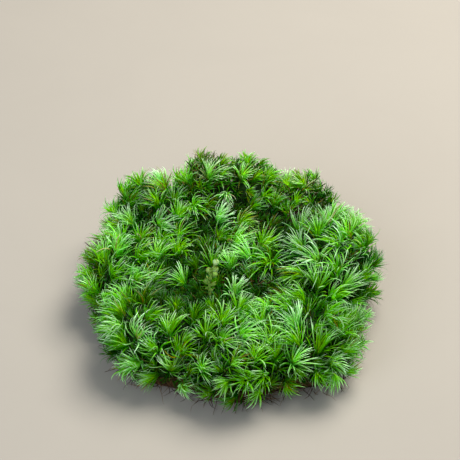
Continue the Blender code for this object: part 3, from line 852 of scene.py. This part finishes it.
def living_leaf_material(colours):
    """Moss leaf, one to a few cells thick, grown in the open."""
    # Living moss leaf: no wax and hardly any thickness, so it is satin and glows
    # where light comes through it, and it pales to its tip as the cells empty; part of that
    # paleness is painted highlight.
    material, tree, output = new_material("living_moss_leaf")
    marks = {}
    for mark in ("along", "age", "light", "brown", "pale", "rusty"):
        title = "leaf_" + mark
        marks[mark] = add_node(tree, "ShaderNodeAttribute", attribute_name=title).outputs["Fac"]
    # The colour along the blade, from its base to its tip, at each age of a leaf.
    young = ((0.0, colours.heart), (0.3, colours.heart), (0.7, colours.young), (1.0, colours.tip))
    grown = (
        (0.0, colours.grown_base), (0.38, colours.grown), (0.72, colours.young), (1.0, colours.tip))
    old = (
        (0.0, colours.old), (0.5, colours.grown_base), (0.85, colours.grown), (1.0, colours.young))
    colour = add_node(
        tree, "ShaderNodeValToRGB", {"Fac": marks["along"]}, stops=young)
    for stops, first_age, last_age in ((grown, 0.05, 0.5), (old, 0.8, 1.05)):
        ramp = add_node(tree, "ShaderNodeValToRGB", {"Fac": marks["along"]}, stops=stops)
        share = add_node(
            tree, "ShaderNodeMapRange",
            {"Value": marks["age"], "From Min": first_age, "From Max": last_age})
        colour = add_node(
            tree, "ShaderNodeMix", {0: share, 6: colour, 7: ramp},
            data_type="RGBA").outputs[2]
    # Withering takes the whole blade. Bleaching, partly painted highlight, and rust begin at its
    # tip.
    tipward = add_node(
        tree, "ShaderNodeMath", {0: marks["along"], 1: 2.4}, operation="POWER")
    shares = [(marks["brown"], colours.withered)]
    for mark, tint in (("pale", colours.bleached_and_highlit), ("rusty", colours.rusty)):
        share = add_node(
            tree, "ShaderNodeMath", {0: tipward, 1: marks[mark]}, operation="MULTIPLY")
        shares.append((share, tint))
    for share, tint in shares:
        colour = add_node(
            tree, "ShaderNodeMix", {0: share, 6: colour, 7: (*tint, 1.0)},
            data_type="RGBA").outputs[2]
    # Painted light and shade: leaves that leaf_light marks as in the shade are made a bluer,
    # deeper and darker green, and leaves marked as in the light a paler, brighter one: from
    # and to which mark, and what each comes to there.
    tones = {}
    for tone, shade, light, in_shade, in_light in (
            ("Hue", -1.6, 0.4, 0.532, 0.501),
            ("Saturation", -1.2, 1.0, 1.72, 0.98),
            ("Value", -1.2, 1.0, 0.28, 1.70)):
        tones[tone] = add_node(
            tree, "ShaderNodeMapRange",
            {"Value": marks["light"], "From Min": shade, "From Max": light,
             "To Min": in_shade, "To Max": in_light})
    # The green also shifts over the cushion in patches about 9 mm wide.
    where = add_node(tree, "ShaderNodeTexCoord")
    patches = add_node(
        tree, "ShaderNodeTexNoise",
        {"Vector": where.outputs["Object"], "Scale": 1.0 / (9.0 * MM), "Detail": 2.0})
    shift = add_node(
        tree, "ShaderNodeMapRange",
        {"Value": patches, "From Min": 0.3, "From Max": 0.7,
         "To Min": -0.008, "To Max": 0.012})
    tones["Hue"] = add_node(
        tree, "ShaderNodeMath", {0: shift, 1: tones["Hue"]}, operation="ADD")
    toned = add_node(tree, "ShaderNodeHueSaturation", {**tones, "Color": colour})
    # The rib along the back of the blade is a little darker than the blade.
    keel = add_node(tree, "ShaderNodeAttribute", attribute_name="strand_keel")
    ribbed = add_node(
        tree, "ShaderNodeMapRange", {"Value": keel.outputs["Fac"], "To Min": 1.06, "To Max": 0.88})
    final = add_node(
        tree, "ShaderNodeMix", {0: 1.0, 6: toned, 7: ribbed},
        data_type="RGBA", blend_type="MULTIPLY").outputs[2]
    # Cells are drawn 0.35 mm wide, coarser than the real ones, so that they show.
    cells = add_node(
        tree, "ShaderNodeTexNoise",
        {"Vector": where.outputs["Object"], "Scale": 1.0 / (0.35 * MM), "Detail": 2.0})
    roughness = add_node(
        tree, "ShaderNodeMapRange", {"Value": cells, "To Min": 0.34, "To Max": 0.56})
    bump = add_node(
        tree, "ShaderNodeBump", {"Height": cells, "Strength": 0.35, "Distance": 0.03 * MM})
    blade = add_node(
        tree, "ShaderNodeBsdfPrincipled",
        {"Base Color": final, "Roughness": roughness, "IOR": 1.43,
         "Specular IOR Level": 0.12, "Normal": bump})
    glow = add_node(tree, "ShaderNodeBsdfTranslucent", {"Color": final})
    both = add_node(
        tree, "ShaderNodeMixShader", {0: 0.48, 1: blade, 2: glow})
    tree.links.new(both.outputs[0], output.inputs["Surface"])
    return material


def plant_material(name, grain_width, stops, roughness, relief, mark=None, mark_range=(0.0, 1.0)):
    """A dull surface. Noise in grains, plus a mark, runs through the colour stops."""
    material, tree, output = new_material(name)
    where = add_node(tree, "ShaderNodeTexCoord")
    grain = add_node(
        tree, "ShaderNodeTexNoise",
        {"Vector": where.outputs["Object"], "Scale": 1.0 / grain_width, "Detail": 5.0,
         "Roughness": 0.65, "Distortion": 0.6})
    share = grain
    if mark is not None:
        tone = add_node(tree, "ShaderNodeAttribute", attribute_name=mark)
        ranged = add_node(
            tree, "ShaderNodeMapRange",
            {"Value": tone.outputs["Fac"], "To Min": mark_range[0], "To Max": mark_range[1]},
            clamp=False)
        share = add_node(
            tree, "ShaderNodeMath", {0: share, 1: ranged}, operation="ADD")
    colour = add_node(tree, "ShaderNodeValToRGB", {"Fac": share}, stops=stops)
    rough = add_node(
        tree, "ShaderNodeMapRange",
        {"Value": grain, "To Min": roughness - 0.08, "To Max": roughness + 0.08})
    bump = add_node(
        tree, "ShaderNodeBump", {"Height": grain, "Strength": 0.8, "Distance": relief})
    surface = add_node(
        tree, "ShaderNodeBsdfPrincipled",
        {"Base Color": colour, "Roughness": rough, "IOR": 1.45,
         "Specular IOR Level": 0.2, "Normal": bump})
    tree.links.new(surface.outputs[0], output.inputs["Surface"])
    return material


# --- pieces ---

class MOSS_OT_leafy_shoots(bpy.types.Operator):
    """Grow the leaves of every shoot, and the stems under them"""
    bl_idname = "moss.leafy_shoots"
    bl_label = "Leafy shoots"

    def execute(self, context):
        settings = context.scene.moss_shoots
        random = np.random.default_rng(SEED + 1)
        shoots = grow_shoots(settings)
        material = living_leaf_material(context.scene.moss_leaf_colours)
        sectors = shoot_sectors(shoots["foot"])
        for sector, name in enumerate(SECTOR_NAMES):
            groups = []
            for storey, segments in enumerate(STOREY_SEGMENTS):
                chosen = np.flatnonzero((sectors == sector) & (shoots["storey"] == storey))
                leaves = leaf_rows(shoots, chosen, random)
                groups.append(leaf_strands(leaves, settings, segments))
            piece = mesh_object(name, material, *join_strands(groups))
            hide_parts("moss_cushion")
        # Moss stem: wiry, brown below and green near its leaves, dull.
        material = plant_material(
            "wiry_moss_stem", 0.8 * MM,
            ((0.25, linear("#2a1d10")), (0.7, linear("#54451f")), (0.75, linear("#5d6a2a"))),
            0.6, 0.05 * MM, "leaf_along", (-0.2, 0.3))
        stems = stem_strands(shoots, random)
        piece = mesh_object("shoot_stems", material, *join_strands([stems]))
        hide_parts("moss_cushion")
        return {"FINISHED"}


class MOSS_OT_thatch(bpy.types.Operator):
    """Fill the inside of the cushion with packed old leaves"""
    bl_idname = "moss.thatch"
    bl_label = "Packed old leaves"

    def execute(self, context):
        depth = context.scene.moss_ground.thatch_depth
        level = level_directions(np.arange(THATCH_TURNS) * math.tau / THATCH_TURNS)
        rim = mound_points(level, focus=(0.0, 0.0, THATCH_LOWEST), depth=depth)
        low = unit(rim - MOUND_FOCUS)
        rays = [UP[None]]
        for ring in range(1, THATCH_RINGS):
            share = ring / THATCH_RINGS
            rays.append(unit(UP * (1.0 - share) + low * share))
        surface = mound_points(np.concatenate(rays), depth=depth)
        points = np.concatenate((surface, rim))
        rough = sum(field_noise(points, wave, 5 + place) for place, wave in enumerate(THATCH_WAVES))
        points = points + mound_normals(points) * (rough * THATCH_ROUGHNESS)[:, None]
        points = np.concatenate((points, UP[None] * THATCH_LOWEST))
        points[:, 2] = np.maximum(points[:, 2], THATCH_LOWEST)
        triangles = []
        for turn in range(THATCH_TURNS):
            after = (turn + 1) % THATCH_TURNS
            triangles.append((0, 1 + turn, 1 + after))
            for ring in range(THATCH_RINGS - 1):
                here = 1 + ring * THATCH_TURNS
                below = here + THATCH_TURNS
                triangles.append((here + turn, below + turn, below + after))
                triangles.append((here + turn, below + after, here + after))
            last = 1 + (THATCH_RINGS - 1) * THATCH_TURNS
            triangles.append((last + turn, len(points) - 1, last + after))
        # Packed dead leaves and stems, limp and dull, with olive and brown shreds 1 to 2 mm
        # wide; the colour is painted nearly black, a painted shade for the deep shade inside the
        # cushion.
        material = plant_material(
            "packed_old_leaves", 1.3 * MM,
            ((0.30, linear("#071502")), (0.48, linear("#0e2805")), (0.60, linear("#1b3a0a")),
             (0.72, linear("#2a3a10"))),
            0.9, 0.5 * MM)
        piece = mesh_object("packed_old_leaves", material, points, np.array(triangles))
        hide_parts("moss_cushion")
        return {"FINISHED"}


class MOSS_OT_broken_leaves(bpy.types.Operator):
    """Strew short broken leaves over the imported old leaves"""
    bl_idname = "moss.broken_leaves"
    bl_label = "Broken old leaves"

    def execute(self, context):
        ground = context.scene.moss_ground
        random = np.random.default_rng(SEED + 4)
        directions = spiral_directions(ground.broken_leaf_count)
        roots = mound_points(directions, depth=ground.thatch_depth + BROKEN_LEAF_SINK)
        roots = roots[roots[:, 2] > THATCH_LOWEST + BROKEN_LEAF_SINK]
        count = len(roots)
        outward = mound_normals(roots)
        side = unit(np.cross(outward, random.normal(0.0, 1.0, (count, 3))))
        nothing = np.zeros(count)
        leaves = {
            "axis": outward,
            "radial": np.cross(side, outward),
            "side": side,
            "root": roots,
            "start": random.uniform(0.1, 0.9, count),
            "bend": random.uniform(0.2, 1.3, count),
            "length": random.uniform(3.2, 5.6, count) * MM,
            "sweep": np.zeros((count, 3)),
            "droop": random.uniform(0.0, 0.5, count),
            "wave": random.normal(0.0, 0.1, count),
            "turns": np.ones(count),
            "phase": random.random(count),
            "twist": random.normal(0.0, 0.9, count),
            "size": random.uniform(1.2, 1.9, count),
            # Painted shade: the broken leaves are marked dark, for the shade deep in the cushion.
            "light": random.uniform(-1.4, -0.75, count),
            "age": np.ones(count),
            "brown": random.random(count) ** 3,
            "pale": nothing,
            "rusty": nothing,
        }
        group = leaf_strands(leaves, context.scene.moss_shoots, BROKEN_LEAF_SEGMENTS)
        # Old moss leaf: the same surface as a living one, green-brown, with painted shade from its
        # dark leaf_light mark.
        material = bpy.data.materials["living_moss_leaf"]
        piece = mesh_object("broken_old_leaves", material, *join_strands([group]))
        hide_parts("moss_cushion")
        return {"FINISHED"}


def skirt_radius(turns, height):
    """Distance from the middle to the mound's side at a height."""
    spots = mound_points(level_directions(turns), focus=(0.0, 0.0, height))
    return np.linalg.norm(spots[:, :2], axis=1)


class MOSS_OT_felt(bpy.types.Operator):
    """Give the felt of old stems its look and its loose fibres"""
    bl_idname = "moss.felt"
    bl_label = "Felt and fibres"

    def execute(self, context):
        settings = context.scene.moss_ground
        random = np.random.default_rng(SEED + 2)
        felt = Vector(settings.felt)
        # Felt of rhizoids and humus: matted fibres with no shine, darker where damp.
        material = plant_material(
            "matted_rhizoid_felt", 1.0 * MM,
            ((0.30, felt * 0.25), (0.50, felt), (0.72, felt * 2.1)), 0.92, 0.4 * MM)
        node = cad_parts["rhizoid_mat"]
        node.data.materials.clear()
        node.data.materials.append(material)
        count = settings.fibre_count
        turns = random.uniform(0.0, math.tau, count)
        radius = skirt_radius(turns, 3.0 * MM) - random.uniform(1.0, 4.2, count) * MM
        heights = random.uniform(0.6, 8.0, count) * MM
        outward = level_directions(turns)
        roots = outward * radius[:, None] + UP * heights[:, None]
        aside = np.cross(UP, outward) * random.uniform(-1.4, 1.4, count)[:, None]
        lengths = random.uniform(2.5, 7.0, count) * MM
        share = np.linspace(0.0, 1.0, LOOSE_STATIONS)
        heading = unit(outward * 0.55 + aside + UP * random.normal(-0.1, 0.6, (count, 1)))
        curl = unit(random.normal(0.0, 1.0, (count, 3)))
        curls = []
        for place in share[1:]:
            wander = random.normal(0.0, 0.14, (count, 3))
            curls.append(curl * 0.28 * math.sin(place * 5.0) + wander)
        middles = curling_middles(roots, heading, lengths, curls)
        middles[..., 2] = np.maximum(middles[..., 2], FIBRE_LOWEST)
        ahead = unit(np.gradient(middles, axis=1))
        across, outer = sides_of(ahead, UP + 0.01 * curl[:, None])
        widths = 2.0 * settings.fibre_radius * random.uniform(0.7, 1.4, (count, 1))
        widths = widths * (1.0 - 0.7 * share)
        marks = {"leaf_light": random.random((count, 1))}
        group = strand_arrays(middles, across, outer, widths, 0.85, marks)
        # Rhizoid: a root-like thread, dry and dull, dark brown to tan.
        material = plant_material(
            "loose_rhizoid_fibre", 0.9 * MM,
            ((0.3, linear("#1b120a")), (0.6, linear("#4b3219")), (0.95, linear("#8a6a42"))),
            0.8, 0.02 * MM, "leaf_light", (-0.25, 0.35))
        piece = mesh_object("rhizoid_fibres", material, *join_strands([group]))
        return {"FINISHED"}


class MOSS_OT_dead_leaves(bpy.types.Operator):
    """Scatter dead brown leaves in the clefts between the shoots"""
    bl_idname = "moss.dead_leaves"
    bl_label = "Dead leaves"

    def execute(self, context):
        total = context.scene.moss_ground.dead_leaf_count
        random = np.random.default_rng(SEED + 3)
        spots = []
        for middle, reach, share in DEAD_LEAF_SPOTS_MM:
            spread = random.normal(0.0, 0.45, (round(total * share), 3)) * reach
            spots.append((np.array(middle) + spread) * MM)
        spots = np.concatenate(spots)
        count = len(spots)
        surface = mound_points(unit(spots - MOUND_FOCUS))
        outward = mound_normals(surface)
        roots = surface + outward * random.uniform(-0.5, 2.6, count)[:, None] * MM
        flat = level_directions(random.uniform(0.0, math.tau, count))
        heading = unit(flat + outward * random.uniform(0.0, 0.9, count)[:, None])
        curl = unit(random.normal(0.0, 1.0, (count, 3)) + UP * 0.4)
        share = np.linspace(0.0, 1.0, LOOSE_STATIONS)
        lengths = random.uniform(2.0, 4.5, count) * MM
        middles = curling_middles(roots, heading, lengths, [curl * 0.22] * (LOOSE_STATIONS - 1))
        ahead = unit(np.gradient(middles, axis=1))
        across, outer = sides_of(ahead, curl[:, None])
        outline = (0.5 + 0.5 * np.clip(share / 0.25, 0.0, 1.0)) * (1.0 - share) ** 0.6
        widths = DEAD_LEAF_WIDTH * random.uniform(0.6, 1.4, (count, 1)) * outline
        marks = {"leaf_light": random.random((count, 1)) ** 1.5}
        group = strand_arrays(middles, across, outer, widths, 0.25, marks)
        # Dead moss leaf: dried thin, brittle, dark brown to straw, slightly glossy.
        material = plant_material(
            "dead_moss_leaf", 1.2 * MM,
            ((0.3, linear("#1a1209")), (0.6, linear("#3f2c17")), (0.95, linear("#7d643a"))),
            0.55, 0.04 * MM, "leaf_light", (-0.25, 0.35))
        piece = mesh_object("dead_leaves", material, *join_strands([group]))
        return {"FINISHED"}


def sprig_point(share):
    """Point of the sprig's bent stem at a share of its height."""
    rise = Vector((0.0, 0.0, SPRIG_HEIGHT * share))
    bend = Vector((-SPRIG_BEND, 0.0, 0.0)) * math.sin(math.pi * share)
    return SPRIG_FOOT + SPRIG_LEAN * share + rise + bend


def turned(place, ahead):
    """The frame at a place whose Z goes ahead."""
    return Matrix.Translation(place) @ ahead.to_track_quat("Z", "X").to_matrix().to_4x4()


def level_spot(angle, reach):
    """Level step from a stem at an angle."""
    return Vector((math.cos(angle), math.sin(angle), 0.0)) * reach


def add_tube(shape, middles, radii, sides=10):
    """Add a closed round tube through points to a shape."""
    rings = []
    for place, middle in enumerate(middles):
        ahead = middles[min(place + 1, len(middles) - 1)] - middles[max(place - 1, 0)]
        turn = ahead.to_track_quat("Z", "X").to_matrix()
        ring = []
        for side in range(sides):
            step = level_spot(math.tau * side / sides, radii[place])
            ring.append(shape.verts.new(middle + turn @ step))
        rings.append(ring)
    for lower, upper in zip(rings, rings[1:]):
        for side in range(sides):
            after = (side + 1) % sides
            shape.faces.new((lower[side], lower[after], upper[after], upper[side]))
    shape.faces.new(rings[0][::-1])
    shape.faces.new(rings[-1])


def add_scale(shape, place, radius, turn, opening):
    """Add one pointed scale of a bud, a thin closed shell, to a shape."""
    sheets = []
    for thickness in (0.0, SCALE_THICKNESS):
        sheet = []
        for row in range(SCALE_ROWS + 1):
            share = row / SCALE_ROWS
            width = SCALE_SPAN * math.sin(math.pi * min(0.98, 0.22 + 0.78 * share)) ** 0.7
            belly = math.sin(math.pi * (0.12 + 0.85 * share)) ** 0.8
            reach = radius * (belly * (1.04 - thickness) + opening * share**2)
            height = BUD_HEIGHT * radius * share * 0.98
            line = []
            for column in range(SCALE_COLUMNS + 1):
                angle = turn + width * (column / SCALE_COLUMNS - 0.5)
                spot = Vector((math.cos(angle) * reach, math.sin(angle) * reach, height))
                line.append(shape.verts.new(place @ spot))
            sheet.append(line)
        sheets.append(sheet)
    outer, inner = sheets
    for row in range(SCALE_ROWS):
        for column in range(SCALE_COLUMNS):
            shape.faces.new((outer[row][column], outer[row][column + 1],
                             outer[row + 1][column + 1], outer[row + 1][column]))
            shape.faces.new((inner[row][column], inner[row + 1][column],
                             inner[row + 1][column + 1], inner[row][column + 1]))
    # The rim goes along the foot, up one side, back along the tip and down the other.
    rim = [(0, column) for column in range(SCALE_COLUMNS)]
    rim += [(row, SCALE_COLUMNS) for row in range(SCALE_ROWS)]
    rim += [(SCALE_ROWS, column) for column in range(SCALE_COLUMNS, 0, -1)]
    rim += [(row, 0) for row in range(SCALE_ROWS, 0, -1)]
    for (row, column), (next_row, next_column) in zip(rim, rim[1:] + rim[:1]):
        shape.faces.new((outer[next_row][next_column], outer[row][column],
                         inner[row][column], inner[next_row][next_column]))


def add_bud(shape, share, step, radius):
    """Add a bud to a shape, with its stalk if it stands a step from the stem."""
    middle = sprig_point(share) + step
    lean = (step * 0.7 + Vector((0.0, 0.0, 1.3 * MM))).normalized()
    foot = middle - lean * radius
    if step.length > 0.0:
        add_tube(shape, [sprig_point(share - 0.10), foot + lean * 0.2 * MM], STALK_RADII, 8)
    core = Matrix.Translation(middle) @ Matrix.Diagonal((0.9, 0.9, 1.0, 1.0))
    bmesh.ops.create_uvsphere(
        shape, u_segments=16, v_segments=10, radius=radius * 0.93, matrix=core)
    for scale in range(BUD_SCALES):
        opening = SCALE_OPENING + OUTER_SCALE_OPENING * (scale % 2)
        add_scale(shape, turned(foot, lean), radius,
                  math.tau * scale / BUD_SCALES + share * 9.0, opening)


def add_leaflet(shape, share, turn, length):
    """Add a flat leaflet at a share of the sprig's height to a shape."""
    out = (level_spot(turn, 1.0) + UPWARD * 0.75).normalized()
    flat = Matrix.Diagonal((*LEAFLET_SHAPE, 1.0, 1.0))
    centre = Matrix.Translation(UPWARD * length / 2.0)
    bmesh.ops.create_uvsphere(
        shape, u_segments=12, v_segments=10, radius=length / 2.0,
        matrix=turned(sprig_point(share), out) @ flat @ centre)


class MOSS_OT_budded_sprig(bpy.types.Operator):
    """Build the pale sprig with its scaly buds and leaflets"""
    bl_idname = "moss.budded_sprig"
    bl_label = "Budded sprig"

    def execute(self, context):
        settings = context.scene.moss_sprig
        shape = bmesh.new()
        shares = [step / SPRIG_RINGS for step in range(SPRIG_RINGS + 1)]
        add_tube(shape, [sprig_point(share) for share in shares],
                 [SPRIG_STEM_RADIUS * (1.0 - 0.35 * share) for share in shares])
        for share, turn, reach_mm, radius_mm in SPRIG_BUDS:
            step = level_spot(math.radians(turn), reach_mm) * MM
            add_bud(shape, share, step, radius_mm * MM)
        for share, turn, length_mm in SPRIG_LEAFLETS:
            add_leaflet(shape, share, math.radians(turn), length_mm * MM)
        bmesh.ops.recalc_face_normals(shape, faces=shape.faces)
        bmesh.ops.triangulate(shape, faces=shape.faces)
        mesh = bpy.data.meshes.new("sprig_with_buds")
        shape.to_mesh(mesh)
        shape.free()
        mesh.shade_smooth()
        heights = [(spot.co.z - SPRIG_FOOT.z) / SPRIG_HEIGHT for spot in mesh.vertices]
        mesh.attributes.new("sprig_height", "FLOAT", "POINT").data.foreach_set("value", heights)
        piece = bpy.data.objects.new("sprig_with_buds", mesh)
        context.scene.collection.objects.link(piece)
        # Plump fresh bud scales and leaflets: waxy, pale, with light coming through.
        material = plant_material(
            "waxy_bud_scale", 1.6 * MM,
            ((0.34, settings.stem), (0.52, settings.leaflet), (0.84, settings.leaflet),
             (1.02, settings.bud)),
            0.42, 0.06 * MM, "sprig_height", (-0.15, 0.42))
        surface = next(n for n in material.node_tree.nodes if n.type == "BSDF_PRINCIPLED")
        surface.inputs["Subsurface Weight"].default_value = 0.25
        surface.inputs["Subsurface Scale"].default_value = 0.6 * MM
        mesh.materials.append(material)
        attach(piece, "root")
        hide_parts("budded_sprig")
        return {"FINISHED"}


# --- stage ---

def add_floor(scene, floor_colour):
    """Lay the floor, a hair under the clump's cut face."""
    corners = [(-FLOOR_HALF, -FLOOR_HALF, 0.0), (FLOOR_HALF, -FLOOR_HALF, 0.0),
               (FLOOR_HALF, FLOOR_HALF, 0.0), (-FLOOR_HALF, FLOOR_HALF, 0.0)]
    mesh = bpy.data.meshes.new("floor")
    mesh.from_pydata(corners, [], [(0, 1, 2, 3)])
    floor = bpy.data.objects.new("floor", mesh)
    floor.location.z = -FLOOR_DROP
    scene.collection.objects.link(floor)
    # Matt painted board: even and pale, with no shine.
    colour = Vector(floor_colour)
    mesh.materials.append(plant_material(
        "matt_painted_board", 60.0 * MM, ((0.3, colour * 0.97), (0.7, colour)), 0.85, 0.02 * MM))


def add_camera(scene, settings):
    """Put the camera where the photo was taken from."""
    elevation = settings.camera_elevation
    back = Vector((0.0, -math.cos(elevation), math.sin(elevation)))
    camera = bpy.data.objects.new("camera", bpy.data.cameras.new("camera"))
    camera.location = LOOK_AT + back * settings.camera_distance
    camera.rotation_euler = (-back).to_track_quat("-Z", "Y").to_euler()
    camera.data.sensor_fit = "HORIZONTAL"
    camera.data.sensor_width = SENSOR_MM
    camera.data.lens = PHOTO_FOCAL_PIXELS / PHOTO_PIXELS * SENSOR_MM
    camera.data.clip_start = 0.01
    scene.collection.objects.link(camera)
    scene.camera = camera


class MOSS_OT_stage(bpy.types.Operator):
    """Set up the floor, the camera and the soft lights"""
    bl_idname = "moss.stage"
    bl_label = "Stage"

    def execute(self, context):
        settings = context.scene.moss_stage
        scene = context.scene
        add_floor(scene, settings.floor)
        add_camera(scene, settings)
        for name, (place, size, power, tint) in LIGHTS.items():
            light = bpy.data.lights.new(name, "AREA")
            light.shape = "SQUARE"
            light.size = size
            light.energy = getattr(settings, power)
            light.color = linear(tint)
            lamp = bpy.data.objects.new(name, light)
            lamp.location = place
            lamp.rotation_euler = (LIGHTS_AIM - Vector(place)).to_track_quat("-Z", "Y").to_euler()
            scene.collection.objects.link(lamp)
        world = bpy.data.worlds.new("soft_room")
        world.use_nodes = True
        sky = world.node_tree.nodes["Background"]
        sky.inputs["Color"].default_value = (*linear(ROOM_TINT), 1.0)
        sky.inputs["Strength"].default_value = ROOM_STRENGTH
        scene.world = world
        scene.view_settings.view_transform = "Standard"
        return {"FINISHED"}


# --- add-on ---

class MOSS_PT_panel(bpy.types.Panel):
    """Lists the pieces of the moss clump and their settings"""
    bl_label = "Moss clump"
    bl_idname = "MOSS_PT_panel"
    bl_space_type = "VIEW_3D"
    bl_region_type = "UI"
    bl_category = "Moss"

    def draw(self, context):
        for operator, group in PIECES:
            box = self.layout.box()
            box.operator(operator)
            for name in group:
                settings = getattr(context.scene, name)
                for title in settings.__annotations__:
                    box.prop(settings, title)


SETTINGS = {
    "moss_shoots": MossShootSettings,
    "moss_leaf_colours": MossLeafColours,
    "moss_ground": MossGroundSettings,
    "moss_sprig": MossSprigSettings,
    "moss_stage": MossStageSettings,
}
PIECES = (
    ("moss.thatch", ("moss_ground",)),
    ("moss.leafy_shoots", ("moss_shoots", "moss_leaf_colours")),
    ("moss.broken_leaves", ()),
    ("moss.felt", ()),
    ("moss.dead_leaves", ()),
    ("moss.budded_sprig", ("moss_sprig",)),
    ("moss.stage", ("moss_stage",)),
)
CLASSES = (
    *SETTINGS.values(),
    MOSS_OT_thatch,
    MOSS_OT_leafy_shoots,
    MOSS_OT_broken_leaves,
    MOSS_OT_felt,
    MOSS_OT_dead_leaves,
    MOSS_OT_budded_sprig,
    MOSS_OT_stage,
    MOSS_PT_panel,
)


def register():
    for kind in CLASSES:
        bpy.utils.register_class(kind)
    for name, kind in SETTINGS.items():
        setattr(bpy.types.Scene, name, PointerProperty(type=kind))


def unregister():
    for name in SETTINGS:
        delattr(bpy.types.Scene, name)
    for kind in reversed(CLASSES):
        bpy.utils.unregister_class(kind)


def main():
    """Build every piece in order."""
    register()
    for operator, _ in PIECES:
        family, name = operator.split(".")
        getattr(getattr(bpy.ops, family), name)()


if __name__ == "__main__":
    main()
